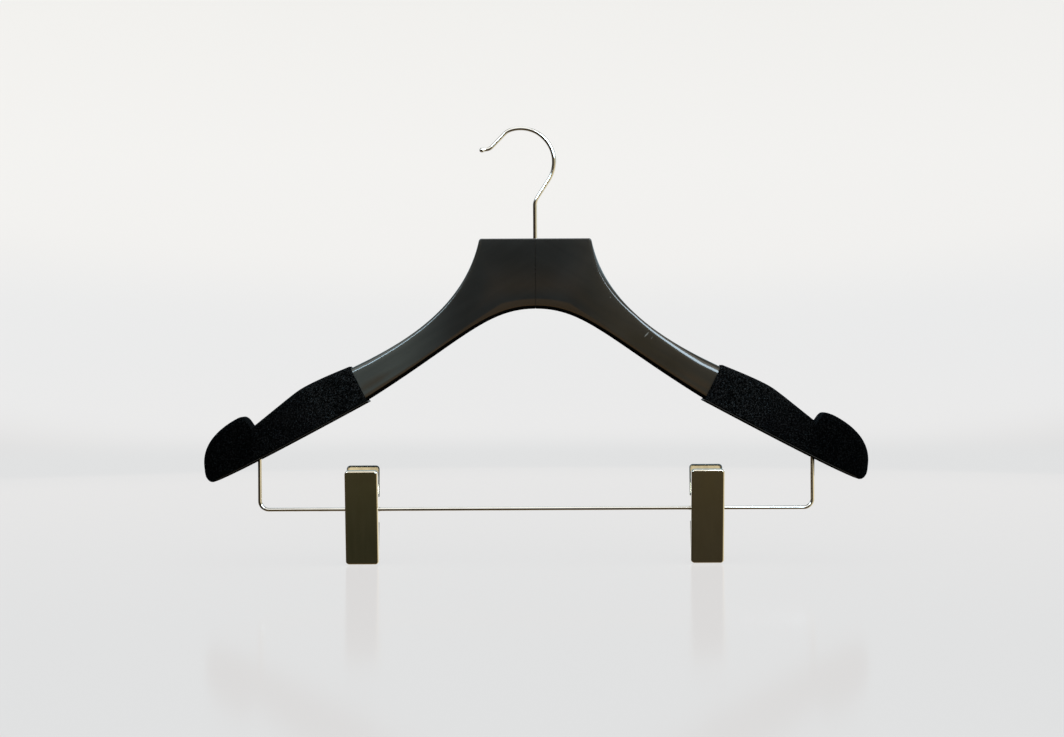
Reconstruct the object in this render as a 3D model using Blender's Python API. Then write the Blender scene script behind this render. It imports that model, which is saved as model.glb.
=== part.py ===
"""Clothes hanger: swivel hook, lacquered wood arms, flocked shoulder caps, wire bar with two sprung clips.

+X runs along the hanger, -Y is its front, and +Z is up. The origin is where the rail touches the hook.
"""

import math

import bmesh
import bpy
from mathutils import Vector

GAP = 0.0003  # left between pieces that touch

# Hook
WIRE_RADIUS = 0.0014
HOOK_RADIUS = 0.0222
HOOK_CENTRE = Vector((-0.0094, 0, 0.0513))  # from the neck's top, on the swivel axis
HOOK_ARC_START = math.radians(-33)
HOOK_ARC_END = math.radians(105)
HOOK_TAIL_TURN = Vector((-0.0297, 0, 0.0600))
HOOK_TIP = Vector((-0.0350, 0, 0.0592))
HOOK_BALL_RADIUS = 0.0018
HOOK_FOOT_Z = -0.0255
SEAT_X = HOOK_CENTRE.x
SEAT_Z = HOOK_CENTRE.z + HOOK_RADIUS - WIRE_RADIUS

# Hook seat inside the neck, as heights below the neck's top
BUSHING_RADIUS = 0.0026
BUSHING_BOTTOM = -0.0177
POCKET_RADIUS = 0.0052
POCKET_TOP = -0.0180
POCKET_BOTTOM = -0.0290
WASHER_RADIUS = 0.0042
WASHER_THICKNESS = 0.0010
NUT_ACROSS_FLATS = 0.0070
NUT_THICKNESS = 0.0032
DOWEL_RADIUS = 0.0030
DOWEL_LENGTH = 0.0300
DOWEL_Z = -0.0380

# Arms, seen from the front, from the middle of the neck's top
NECK_HALF_WIDTH = 0.0354  # of the flat top, inside its rounded corners
NECK_SIDE = (0.0374, -0.0016)  # where the neck's side starts down
NECK_SIDE_ANGLE = math.radians(77)
SWEEP_HANDLES = (0.0530, 0.0229)
ARCH_TOP_Z = -0.0462
ARCH_HANDLES = (0.0326, 0.0743)
ARCH_END_ANGLE = math.radians(32)
NECK_HALF_THICKNESS = 0.0070
ARM_TOP_ROUND = 0.0045
ARM_BOTTOM_ROUND = 0.0015

# Shoulder caps, in their own axes: s runs outward along the bottom edge, n points up from it
CAP_CORNER = (0.1110, -0.1078)  # inner bottom corner
CAP_SLOPE = math.radians(26.75)
CAP_LENGTH = 0.1187
CAP_WALL = 0.0012
CAP_HALF_THICKNESS = (0.0105, 0.0115)  # at the open end and at the middle
CAP_TOP_ROUND = 0.0060
CAP_BOTTOM_ROUND = 0.0030
CAP_TIP_HALF_THICKNESS = 0.0030
CAP_TIP_START = 0.0960
CAP_TIP_HEIGHT = 0.0050
NOTCH = (0.0743, 0.0202)
NOTCH_SHIFTS = {-1: 0.0016, 1: -0.0014}  # how far out the left and the right cap's notch sits from there
TONGUE_LENGTH = 0.0920

# Trouser bar
BAR_Z = -0.1793
BAR_HALF_SPAN = 0.1837
BAR_BEND = 0.0058
BAR_LEG_TOP = -0.1320

# Clips, from the pivot on the bar's axis
CLIP_PLACES = {"left": -0.1157, "right": 0.1134}  # where each has been slid to
CLIP_TILT = math.radians(6.5)
CLIP_FACE_Y = -0.00725
CLIP_TOP = 0.0270
CLIP_BOTTOM = -0.0362
CLIP_WIDTH = 0.0220
CLIP_SHEET = 0.0008
CLIP_FLANGE = 0.0040
CLIP_EDGE_ROUND = 0.0015
BACK_TOP = 0.0294
WAIST_WIDTH = 0.0198  # of the back plate where its ears nest inside the front plate's
WAIST_HALF_HEIGHT = 0.0085
EAR_HALF_HEIGHT = 0.0080
EAR_RADIUS = 0.0046
EAR_TURN = math.radians(75)
EAR_HOLE_RADIUS = 0.0018
SLEEVE_RADIUS = 0.0021
SLEEVE_BORE_RADIUS = 0.0017
SLEEVE_LENGTH = 0.0176
PAD_WIDTH = 0.0174
PAD_HEIGHT = 0.0110
SPRING_WIRE_RADIUS = 0.0005
SPRING_RADIUS = 0.0031
SPRING_TURNS = 5.5
SPRING_HALF_LENGTH = 0.0040
SPRING_REAR_LEG = (0.0073, 0.0160)  # its foot's Y and Z from the bar, against the back plate
SPRING_FRONT_LEG = (-0.0031, 0.0095)  # clear of the front plate when the clip is squeezed open
SPRING_FOOT = 0.0030

FINISHES = {  # base colour, roughness, metallic
    "chrome": ((0.80, 0.79, 0.76), 0.12, 1.0),
    "brass": ((0.72, 0.55, 0.28), 0.35, 1.0),
    "zinc_steel": ((0.55, 0.56, 0.57), 0.40, 1.0),
    "lacquered_wood": ((0.022, 0.024, 0.023), 0.38, 0.0),
    "beech": ((0.55, 0.38, 0.22), 0.60, 0.0),
    "flock": ((0.004, 0.005, 0.006), 0.95, 0.0),
    "clip_plate": ((0.50, 0.44, 0.30), 0.18, 1.0),
    "spring_steel": ((0.42, 0.42, 0.44), 0.35, 1.0),
    "pad_rubber": ((0.05, 0.05, 0.055), 0.80, 0.0),
}


def new_collection(name, hidden=False):
    collection = bpy.data.collections.new(name)
    collection.hide_render = hidden
    bpy.context.scene.collection.children.link(collection)
    return collection


def make_material(name):
    colour, roughness, metallic = FINISHES[name]
    material = bpy.data.materials.new(name)
    material.use_nodes = True
    shader = material.node_tree.nodes["Principled BSDF"]
    shader.inputs["Base Color"].default_value = (*colour, 1)
    shader.inputs["Roughness"].default_value = roughness
    shader.inputs["Metallic"].default_value = metallic
    return material


def add_empty(name, location, parent=None):
    empty = bpy.data.objects.new(name, None)
    empty.location = location
    empty.parent = parent
    PARTS.objects.link(empty)
    return empty


def add_object(name, data, parent, finish=None, rotation=(0, 0, 0)):
    """Links a new object: a sub-part when it has a finish, and otherwise a cutter."""
    piece = bpy.data.objects.new(name, data)
    piece.parent = parent
    piece.rotation_euler = rotation
    if finish:
        PARTS.objects.link(piece)
        data.materials.append(make_material(finish))
    else:
        CUTTERS.objects.link(piece)
        piece.hide_render = True
        piece.display_type = "WIRE"
    return piece


def mesh_of(bm, name, smooth=True):
    bmesh.ops.recalc_face_normals(bm, faces=bm.faces)
    if bm.calc_volume(signed=True) < 0:
        bmesh.ops.reverse_faces(bm, faces=bm.faces)
    mesh = bpy.data.meshes.new(name)
    bm.to_mesh(mesh)
    bm.free()
    if smooth:
        mesh.shade_smooth()
        mesh.set_sharp_from_angle(angle=math.radians(35))
    return mesh


def cut(piece, cutter):
    modifier = piece.modifiers.new(cutter.name, "BOOLEAN")
    modifier.operation = "DIFFERENCE"
    modifier.solver = "EXACT"
    modifier.object = cutter


def cylinder(name, start, end, radius, sides=24):
    """A closed cylinder from start to end."""
    start, end = Vector(start), Vector(end)
    bm = bmesh.new()
    bmesh.ops.create_cone(
        bm, cap_ends=True, segments=sides, radius1=radius, radius2=radius, depth=(end - start).length
    )
    turn = (end - start).to_track_quat("Z", "Y")
    for vert in bm.verts:
        vert.co = turn @ vert.co + (start + end) / 2
    return mesh_of(bm, name)


def tube(name, start, end, radius, bore, parent, finish, sides=24):
    piece = add_object(name, cylinder(name, start, end, radius, sides), parent, finish)
    run = (Vector(end) - Vector(start)).normalized() * radius
    hole = cylinder(name + "_bore", Vector(start) - run, Vector(end) + run, bore)
    cut(piece, add_object(hole.name, hole, parent))
    return piece


def wire(name, points, radius, resolution, parent, finish, radii=None):
    """A round wire through the points. The radii, one for each point, shape a wire that isn't plain."""
    curve = bpy.data.curves.new(name, "CURVE")
    curve.dimensions = "3D"
    curve.bevel_depth = radius
    curve.bevel_resolution = resolution
    curve.use_fill_caps = True
    spline = curve.splines.new("POLY")
    spline.points.add(len(points) - 1)
    spline.use_smooth = True
    for i, point in enumerate(points):
        spline.points[i].co = (*point, 1)
        spline.points[i].radius = radii[i] / radius if radii else 1
    return add_object(name, curve, parent, finish)


def bezier(p0, p1, p2, p3, steps):
    """Points along a cubic curve, without its last one, so that curves chain."""
    points = []
    for i in range(steps):
        t = i / steps
        weights = ((1 - t) ** 3, 3 * (1 - t) ** 2 * t, 3 * (1 - t) * t * t, t**3)
        points.append(tuple(sum(w * p[axis] for w, p in zip(weights, (p0, p1, p2, p3))) for axis in (0, 1)))
    return points


def height_at(outline, s):
    """The outline's n at s, for an outline whose s only grows."""
    for (s0, n0), (s1, n1) in zip(outline, outline[1:]):
        if s <= s1:
            return n0 + (n1 - n0) * (s - s0) / (s1 - s0)
    return outline[-1][1]


def bend(corner, before, after, radius, steps):
    """Points on the arc that rounds a corner of a route through before, corner and after."""
    into = (corner - before).normalized()
    out = (after - corner).normalized()
    half = into.angle(out) / 2
    reach = radius * math.tan(half)
    centre = corner + (out - into).normalized() * radius / math.cos(half)
    start = corner - into * reach - centre
    end = corner + out * reach - centre
    return [centre + start.slerp(end, i / steps) * radius for i in range(steps + 1)]


def rounded_section(bottom, top, half_thickness, top_round, bottom_round, side, steps=4):
    """A ring round the section that stands on bottom and reaches up to top, both as (x, z)."""
    up = Vector((top[0] - bottom[0], 0, top[1] - bottom[1]))
    height = up.length
    up.normalize()
    largest = min(half_thickness, height / 2) * 0.98
    top_round = min(top_round, largest)
    bottom_round = min(bottom_round, largest)
    profile = []
    for radius, level, first in ((bottom_round, bottom_round, -90), (top_round, height - top_round, 0)):
        for i in range(steps + 1):
            angle = math.radians(first + 90 * i / steps)
            y = half_thickness - radius + radius * math.cos(angle)
            profile.append((y, level + radius * math.sin(angle)))
    profile += [(-y, n) for y, n in reversed(profile)]
    ring = []
    for y, n in profile:
        point = Vector((bottom[0], y, bottom[1])) + up * n
        ring.append(Vector((point.x * side, point.y, point.z)))
    return ring


def loft(name, rings):
    """A closed body through the rings, which all have the same number of points."""
    bm = bmesh.new()
    loops = [[bm.verts.new(point) for point in ring] for ring in rings]
    for near, far in zip(loops, loops[1:]):
        for i in range(len(near)):
            j = (i + 1) % len(near)
            bm.faces.new((near[i], near[j], far[j], far[i]))
    bm.faces.new(loops[0])
    bm.faces.new(reversed(loops[-1]))
    return mesh_of(bm, name)


def on_cap(s, n):
    """A point of the cap's own axes, as (x, z) from the middle of the neck's top."""
    x = CAP_CORNER[0] + s * math.cos(CAP_SLOPE) + n * math.sin(CAP_SLOPE)
    z = CAP_CORNER[1] - s * math.sin(CAP_SLOPE) + n * math.cos(CAP_SLOPE)
    return x, z


def cap_outlines(side):
    """The cap's top and bottom edges as (s, n) points. They meet at the tip."""
    tip = (CAP_LENGTH, CAP_TIP_HEIGHT)
    shift = NOTCH_SHIFTS[side]
    slope = [
        *bezier((0, 0.0266), (0.010, 0.0274), (0.022, 0.0284), (0.032, 0.0282), 4),
        *bezier((0.032, 0.0282), (0.037, 0.0281), (0.040, 0.0275), (0.046, 0.0263), 4),
        (0.046, 0.0263),
        (NOTCH[0] + shift, NOTCH[1] - 0.2 * shift),
    ]
    bump = [
        *bezier(
            (0.0752 + shift, 0.0262), (0.0757 + shift, 0.0284), (0.0772 + shift, 0.0296), (0.081, 0.0297), 5
        ),
        *bezier((0.081, 0.0297), (0.097, 0.0297), (0.115, 0.024), tip, 24),
        tip,
    ]
    bottom = [
        *bezier((0, 0), (0.045, -0.0012), (0.095, -0.0022), (0.1145, -0.0009), 12),
        *bezier((0.1145, -0.0009), (0.117, -0.0003), (0.1187, 0.0015), tip, 8),
        tip,
    ]
    return slope, bump, bottom


def cap_half_thickness(s):
    entry, middle = CAP_HALF_THICKNESS
    if s < CAP_TIP_START:
        return entry + (middle - entry) * math.sin(math.pi / 2 * min(max(s, 0) / CAP_TIP_START, 1))
    run = (s - CAP_TIP_START) / (CAP_LENGTH - CAP_TIP_START)
    return CAP_TIP_HALF_THICKNESS + (middle - CAP_TIP_HALF_THICKNESS) * math.sqrt(max(0, 1 - run * run))


def cap_body(name, side):
    slope, bump, bottom = cap_outlines(side)
    edge = slope + bump
    stations = [0, 6, 13, 20, 27, 32, 37, 42, 50, 60, 68]
    stations += [riser + NOTCH_SHIFTS[side] * 1000 for riser in (74.3, 74.7, 75.2, 75.8, 77.2)]
    stations += [81, 87, 93, 98, 103, 107, 110.5, 113.3, 115.4, 117, 118, 118.6]
    rings = []
    for s in (station / 1000 for station in stations):
        low = on_cap(s, height_at(bottom, s))
        high = on_cap(s, height_at(edge, s))
        half = cap_half_thickness(s)
        rings.append(rounded_section(low, high, half, CAP_TOP_ROUND, CAP_BOTTOM_ROUND, side))
    return loft(name, rings)


def tongue_rings(inset, first, last, side):
    """Sections of the arm's end inside the cap, this far in from the cap's skin. They pass under the notch."""
    slope, _, bottom = cap_outlines(side)
    stations = [first, *(s / 1000 for s in (8, 16, 24, 32, 38, 46, 59)), slope[-1][0], 0.083, last]
    rings = []
    for s in stations:
        low = on_cap(s, height_at(bottom, max(s, 0)) + inset)
        high = on_cap(s, height_at(slope, max(s, 0)) - inset)
        half = cap_half_thickness(s) - inset
        rings.append(rounded_section(low, high, half, CAP_TOP_ROUND - inset, CAP_BOTTOM_ROUND - inset, side))
    return rings


def arm_outlines(side):
    """Matching points along the arm's top edge and along the arch under it, from the seam to the cap."""
    side_run = (math.cos(NECK_SIDE_ANGLE), -math.sin(NECK_SIDE_ANGLE))
    inset = CAP_WALL + GAP
    slope, _, _ = cap_outlines(side)
    top_end = on_cap(0, slope[0][1] - inset)
    arch_end = on_cap(0, inset)
    corner_pull = 0.0010
    top = [(GAP / 2 + (NECK_HALF_WIDTH - GAP / 2) * i / 5, 0) for i in range(5)]
    top += bezier(
        (NECK_HALF_WIDTH, 0),
        (NECK_HALF_WIDTH + corner_pull, 0),
        (NECK_SIDE[0] - corner_pull * side_run[0], NECK_SIDE[1] - corner_pull * side_run[1]),
        NECK_SIDE,
        4,
    )
    top += bezier(
        NECK_SIDE,
        (NECK_SIDE[0] + SWEEP_HANDLES[0] * side_run[0], NECK_SIDE[1] + SWEEP_HANDLES[0] * side_run[1]),
        (
            top_end[0] - SWEEP_HANDLES[1] * math.cos(CAP_SLOPE),
            top_end[1] + SWEEP_HANDLES[1] * math.sin(CAP_SLOPE),
        ),
        top_end,
        18,
    )
    arch = bezier(
        (GAP / 2, ARCH_TOP_Z),
        (ARCH_HANDLES[0], ARCH_TOP_Z),
        (
            arch_end[0] - ARCH_HANDLES[1] * math.cos(ARCH_END_ANGLE),
            arch_end[1] + ARCH_HANDLES[1] * math.sin(ARCH_END_ANGLE),
        ),
        arch_end,
        400,
    )
    feet = [min(arch, key=lambda foot: math.dist(foot, point)) for point in top]
    return top, feet


def arm_body(name, side):
    top, feet = arm_outlines(side)
    inset = CAP_WALL + GAP
    end_half = cap_half_thickness(0) - inset
    rings = []
    for high, low in zip(top, feet):
        run = min(max((high[0] - NECK_SIDE[0]) / (CAP_CORNER[0] - NECK_SIDE[0]), 0), 1)
        half = NECK_HALF_THICKNESS + (end_half - NECK_HALF_THICKNESS) * run * run * (3 - 2 * run)
        rings.append(rounded_section(low, high, half, ARM_TOP_ROUND, ARM_BOTTOM_ROUND, side))
    return loft(name, rings + tongue_rings(inset, 0, TONGUE_LENGTH, side))


def hook_route():
    """The hook wire's points and radii, from its foot inside the neck to its ball tip."""
    arc = []
    steps = 30
    for i in range(steps + 1):
        angle = HOOK_ARC_START + (HOOK_ARC_END - HOOK_ARC_START) * i / steps
        arc.append(HOOK_CENTRE + HOOK_RADIUS * Vector((math.cos(angle), 0, math.sin(angle))))
    lean = Vector((math.sin(-HOOK_ARC_START), 0, math.cos(HOOK_ARC_START)))
    knee = arc[0] - lean * (arc[0].x / lean.x)
    foot = Vector((0, 0, HOOK_FOOT_Z))
    tail_lead = Vector((-math.sin(HOOK_ARC_END), 0, math.cos(HOOK_ARC_END))) * 0.0032
    tail_corner = arc[-1] + tail_lead
    points = [foot, foot / 2, *bend(knee, foot, arc[0], 0.010, 6), *arc]
    points += bend(tail_corner, arc[-1], HOOK_TAIL_TURN, 0.011, 4)
    points += bend(HOOK_TAIL_TURN, tail_corner, HOOK_TIP, 0.006, 4)
    radii = [WIRE_RADIUS] * len(points)
    along = (HOOK_TIP - HOOK_TAIL_TURN).normalized()
    neck_angle = math.pi - math.asin(WIRE_RADIUS / HOOK_BALL_RADIUS)
    for i in range(8):
        angle = neck_angle * (1 - i / 7.5)
        points.append(HOOK_TIP + along * HOOK_BALL_RADIUS * math.cos(angle))
        radii.append(HOOK_BALL_RADIUS * math.sin(angle))
    return points, radii


def make_hook(parent):
    points, radii = hook_route()
    wire("hook", points, WIRE_RADIUS, 4, parent, "chrome", radii)
    washer_top = POCKET_TOP - GAP
    washer_bottom = washer_top - WASHER_THICKNESS
    nut_top = washer_bottom - GAP
    nut_bottom = nut_top - NUT_THICKNESS
    bore = WIRE_RADIUS + GAP
    tube("hook_washer", (0, 0, washer_bottom), (0, 0, washer_top), WASHER_RADIUS, bore, parent, "zinc_steel")
    nut_radius = NUT_ACROSS_FLATS / 2 / math.cos(math.pi / 6)
    tube("hook_nut", (0, 0, nut_bottom), (0, 0, nut_top), nut_radius, bore, parent, "zinc_steel", sides=6)


def make_arms(parent):
    bores = [
        cylinder("bushing_bore", (0, 0, POCKET_TOP - GAP), (0, 0, 0.005), BUSHING_RADIUS + GAP),
        cylinder("nut_pocket", (0, 0, POCKET_BOTTOM), (0, 0, POCKET_TOP), POCKET_RADIUS),
        cylinder(
            "dowel_bore",
            (-DOWEL_LENGTH / 2 - GAP, 0, DOWEL_Z),
            (DOWEL_LENGTH / 2 + GAP, 0, DOWEL_Z),
            DOWEL_RADIUS + GAP,
        ),
    ]
    neck_cutters = [add_object(mesh.name, mesh, parent) for mesh in bores]
    for word, side in SIDES:
        leg_x = side * BAR_HALF_SPAN
        leg_bore = cylinder(
            word + "_leg_bore", (leg_x, 0, BAR_Z), (leg_x, 0, BAR_LEG_TOP + GAP), WIRE_RADIUS + GAP, 12
        )
        leg_cutter = add_object(leg_bore.name, leg_bore, parent)

        arm = add_object(word + "_arm", arm_body(word + "_arm", side), parent, "lacquered_wood")
        for cutter in (*neck_cutters, leg_cutter):
            cut(arm, cutter)

        cavity = loft(word + "_cap_cavity", tongue_rings(CAP_WALL, -0.005, TONGUE_LENGTH + GAP, side))
        cap_name = word + "_shoulder_cap"
        cap = add_object(cap_name, cap_body(cap_name, side), parent, "flock")
        cut(cap, add_object(cavity.name, cavity, parent))
        cut(cap, leg_cutter)


def make_neck_fittings(parent):
    top = (0, 0, -GAP)
    tube("hook_bushing", (0, 0, BUSHING_BOTTOM), top, BUSHING_RADIUS, WIRE_RADIUS + GAP, parent, "brass")
    half = DOWEL_LENGTH / 2
    dowel = cylinder("neck_dowel", (-half, 0, DOWEL_Z), (half, 0, DOWEL_Z), DOWEL_RADIUS)
    add_object("neck_dowel", dowel, parent, "beech")


def make_trouser_bar(parent):
    left_top = Vector((-BAR_HALF_SPAN, 0, BAR_LEG_TOP))
    left_corner = Vector((-BAR_HALF_SPAN, 0, BAR_Z))
    right_corner = Vector((BAR_HALF_SPAN, 0, BAR_Z))
    right_top = Vector((BAR_HALF_SPAN, 0, BAR_LEG_TOP))
    points = [left_top, *bend(left_corner, left_top, right_corner, BAR_BEND, 6)]
    points += [*bend(right_corner, left_corner, right_top, BAR_BEND, 6), right_top]
    wire("trouser_bar", points, WIRE_RADIUS, 4, parent, "chrome")


def plate_outline(top):
    """A clip plate from the side, as (y, z): a flanged sheet with a rounded ear round the pivot."""
    rear = CLIP_FACE_Y + CLIP_FLANGE
    slope = math.tan(CLIP_TILT)
    jaw_rear = CLIP_BOTTOM * slope - GAP / 2
    outline = [(CLIP_FACE_Y, CLIP_BOTTOM), (jaw_rear, CLIP_BOTTOM), (rear, (rear + GAP / 2) / slope)]
    outline.append((rear, -EAR_HALF_HEIGHT))
    steps = 8
    for i in range(steps + 1):
        angle = EAR_TURN * (2 * i / steps - 1)
        outline.append((EAR_RADIUS * math.cos(angle), EAR_RADIUS * math.sin(angle)))
    outline += [(rear, EAR_HALF_HEIGHT), (rear, top), (CLIP_FACE_Y, top)]
    return outline


def plate_body(name, width, top):
    """The plate as a solid block, with the edges of its face and its outer corners rounded."""
    bm = bmesh.new()
    outline = plate_outline(top)
    face = bm.faces.new([bm.verts.new((-width / 2, y, z)) for y, z in outline])
    extruded = bmesh.ops.extrude_face_region(bm, geom=[face])["geom"]
    for vert in (item for item in extruded if isinstance(item, bmesh.types.BMVert)):
        vert.co.x = width / 2
    rounded = []
    for edge in bm.edges:
        on_face = all(abs(vert.co.y - CLIP_FACE_Y) < 1e-6 for vert in edge.verts)
        ends = [vert.co.z for vert in edge.verts]
        along_y = abs(edge.verts[0].co.x - edge.verts[1].co.x) < 1e-6 and abs(ends[0] - ends[1]) < 1e-6
        if on_face or (along_y and (ends[0] > top - 1e-6 or ends[0] < CLIP_BOTTOM + 1e-6)):
            rounded.append(edge)
    bmesh.ops.recalc_face_normals(bm, faces=bm.faces)
    bmesh.ops.bevel(bm, geom=rounded, offset=CLIP_EDGE_ROUND, segments=3, profile=0.5, affect="EDGES")
    return mesh_of(bm, name)


def box(name, low, high):
    bm = bmesh.new()
    bmesh.ops.create_cube(bm, size=1)
    for vert in bm.verts:
        for axis in range(3):
            vert.co[axis] = high[axis] if vert.co[axis] > 0 else low[axis]
    return mesh_of(bm, name, smooth=False)


def make_plate(name, top, pivot, rotation, waisted):
    """A pressed plate. A waisted one is narrower round its ears, which then nest inside the other plate's."""
    plate = add_object(name, plate_body(name, CLIP_WIDTH, top), pivot, "clip_plate", rotation)
    inner = CLIP_WIDTH / 2 - CLIP_SHEET
    sheet_y = CLIP_FACE_Y + CLIP_SHEET
    open_y = EAR_RADIUS + 0.005
    floor = CLIP_BOTTOM - 0.005
    ceiling = top - CLIP_SHEET
    cutters = [cylinder(name + "_hole", (-CLIP_WIDTH, 0, 0), (CLIP_WIDTH, 0, 0), EAR_HOLE_RADIUS)]
    if waisted:
        waist = WAIST_WIDTH / 2
        step = WAIST_HALF_HEIGHT + CLIP_SHEET
        for word, side in SIDES:
            near, far = sorted((side * waist, side * CLIP_WIDTH))
            low = (near, CLIP_FACE_Y - 0.005, -WAIST_HALF_HEIGHT)
            cutters.append(box(f"{name}_{word}_waist", low, (far, open_y, WAIST_HALF_HEIGHT)))
        cutters.append(box(name + "_upper_hollow", (-inner, sheet_y, step), (inner, open_y, ceiling)))
        cutters.append(box(name + "_lower_hollow", (-inner, sheet_y, floor), (inner, open_y, -step)))
        inner = waist - CLIP_SHEET
        floor, ceiling = -step - 0.001, step + 0.001
    cutters.append(box(name + "_hollow", (-inner, sheet_y, floor), (inner, open_y, ceiling)))
    for cutter in cutters:
        cut(plate, add_object(cutter.name, cutter, pivot, rotation=rotation))


def make_pad(name, pivot, rotation):
    """A wedge on the plate's inner face. The two pads of a clip meet in an upright plane."""
    bm = bmesh.new()
    outer_y = CLIP_FACE_Y + CLIP_SHEET + GAP
    low = CLIP_BOTTOM + GAP
    high = low + PAD_HEIGHT
    meet_low = (-GAP / 2 + low * math.sin(CLIP_TILT)) / math.cos(CLIP_TILT)
    meet_high = (-GAP / 2 + high * math.sin(CLIP_TILT)) / math.cos(CLIP_TILT)
    outline = [(outer_y, low), (meet_low, low), (meet_high, high), (outer_y, high)]
    face = bm.faces.new([bm.verts.new((-PAD_WIDTH / 2, y, z)) for y, z in outline])
    extruded = bmesh.ops.extrude_face_region(bm, geom=[face])["geom"]
    for vert in (item for item in extruded if isinstance(item, bmesh.types.BMVert)):
        vert.co.x = PAD_WIDTH / 2
    add_object(name, mesh_of(bm, name, smooth=False), pivot, "pad_rubber", rotation)


def make_spring(name, pivot):
    """A torsion spring round the sleeve. Its legs push the two handles apart."""
    points = [
        Vector((SPRING_FOOT - SPRING_HALF_LENGTH, *SPRING_FRONT_LEG)),
        Vector((-SPRING_HALF_LENGTH, *SPRING_FRONT_LEG)),
    ]
    steps = round(SPRING_TURNS * 10)
    for i in range(steps + 1):
        share = i / steps
        angle = 2 * math.pi * SPRING_TURNS * share
        x = SPRING_HALF_LENGTH * (2 * share - 1)
        points.append(Vector((x, -SPRING_RADIUS * math.cos(angle), -SPRING_RADIUS * math.sin(angle))))
    points.append(Vector((SPRING_HALF_LENGTH, *SPRING_REAR_LEG)))
    points.append(Vector((SPRING_HALF_LENGTH - SPRING_FOOT, *SPRING_REAR_LEG)))
    wire(name, points, SPRING_WIRE_RADIUS, 1, pivot, "spring_steel")


def make_clip(word, place, parent):
    """A clip that hangs on the bar: a sleeve, two plates hinged on it, their spring and their pads."""
    pivot = add_empty(word + "_clip_pivot", (place, 0, BAR_Z), parent)
    clip = word + "_clip_"
    ends = ((-SLEEVE_LENGTH / 2, 0, 0), (SLEEVE_LENGTH / 2, 0, 0))
    tube(clip + "sleeve", *ends, SLEEVE_RADIUS, SLEEVE_BORE_RADIUS, pivot, "zinc_steel")
    front = (CLIP_TILT, 0, 0)
    back = (CLIP_TILT, 0, math.pi)
    make_plate(clip + "front_plate", CLIP_TOP, pivot, front, waisted=False)
    make_plate(clip + "back_plate", BACK_TOP, pivot, back, waisted=True)
    make_pad(clip + "front_pad", pivot, front)
    make_pad(clip + "back_pad", pivot, back)
    make_spring(clip + "spring", pivot)


for old in list(bpy.data.objects):
    bpy.data.objects.remove(old)
PARTS = new_collection("clothes_hanger")
CUTTERS = new_collection("cutters", hidden=True)
SIDES = (("left", -1), ("right", 1))

swivel = add_empty("swivel", (-SEAT_X, 0, -SEAT_Z))
make_hook(swivel)
make_neck_fittings(swivel)
make_arms(swivel)
make_trouser_bar(swivel)
for clip_word, clip_place in CLIP_PLACES.items():
    make_clip(clip_word, clip_place, swivel)
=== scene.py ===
"""Looks of the clothes hanger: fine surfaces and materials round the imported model, and a pale studio.

The looks' own sizes are metres from the middle of the neck's top unless a comment says otherwise.
+X runs along the hanger, -Y is its front, and +Z is up.
"""

import math

import bmesh
import bpy
from mathutils import Euler, Matrix, Vector


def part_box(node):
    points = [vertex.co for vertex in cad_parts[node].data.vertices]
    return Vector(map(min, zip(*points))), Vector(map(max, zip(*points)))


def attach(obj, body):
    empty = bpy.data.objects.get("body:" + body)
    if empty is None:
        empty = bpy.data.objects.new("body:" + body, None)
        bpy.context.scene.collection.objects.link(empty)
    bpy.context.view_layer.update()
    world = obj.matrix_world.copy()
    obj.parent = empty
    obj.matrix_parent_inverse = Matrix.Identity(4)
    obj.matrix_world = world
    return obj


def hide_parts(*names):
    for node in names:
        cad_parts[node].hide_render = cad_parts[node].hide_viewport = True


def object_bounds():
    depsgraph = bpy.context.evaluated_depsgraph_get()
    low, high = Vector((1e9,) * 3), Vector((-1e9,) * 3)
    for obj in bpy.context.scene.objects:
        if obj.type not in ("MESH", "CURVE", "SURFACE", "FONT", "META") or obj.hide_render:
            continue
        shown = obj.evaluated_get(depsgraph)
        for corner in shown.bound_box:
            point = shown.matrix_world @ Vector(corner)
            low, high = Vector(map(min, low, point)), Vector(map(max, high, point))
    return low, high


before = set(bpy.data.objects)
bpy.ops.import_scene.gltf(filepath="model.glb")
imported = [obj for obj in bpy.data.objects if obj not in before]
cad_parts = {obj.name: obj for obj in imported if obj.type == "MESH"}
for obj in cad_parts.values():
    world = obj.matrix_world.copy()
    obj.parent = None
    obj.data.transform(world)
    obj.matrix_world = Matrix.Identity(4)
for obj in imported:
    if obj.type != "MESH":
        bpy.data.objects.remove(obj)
CAD_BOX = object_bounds()

GAP = 0.0003  # left between pieces that touch
PAST = 0.005  # how far a cutter reaches past what it cuts
SIDES = (("left", -1), ("right", 1))
LEFT_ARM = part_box("left_arm")
RIGHT_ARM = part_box("right_arm")
NECK_TOP = Vector(((LEFT_ARM[1].x + RIGHT_ARM[0].x) / 2, 0, LEFT_ARM[1].z))

# Wires
WIRE_RADIUS = 0.00138
WIRE_SIDES = 24
HOOK_RADIUS = 0.0222
HOOK_CENTRE = Vector((-0.0094, 0, 0.0513))
HOOK_ARC_START = math.radians(-33)
HOOK_ARC_END = math.radians(105)
HOOK_TAIL_TURN = Vector((-0.0297, 0, 0.0600))
HOOK_TIP = Vector((-0.0350, 0, 0.0592))
HOOK_BALL_RADIUS = 0.0018
HOOK_FOOT_Z = -0.0255
HOOK_KNEE_BEND = 0.010
HOOK_TAIL_LEAD = 0.0032  # straight stretch between the arc and the tail's first corner
HOOK_TAIL_BENDS = (0.011, 0.006)
BAR_Z = -0.1793
BAR_HALF_SPAN = 0.1837
BAR_BEND = 0.0058
BAR_LEG_TOP = -0.1320

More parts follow.
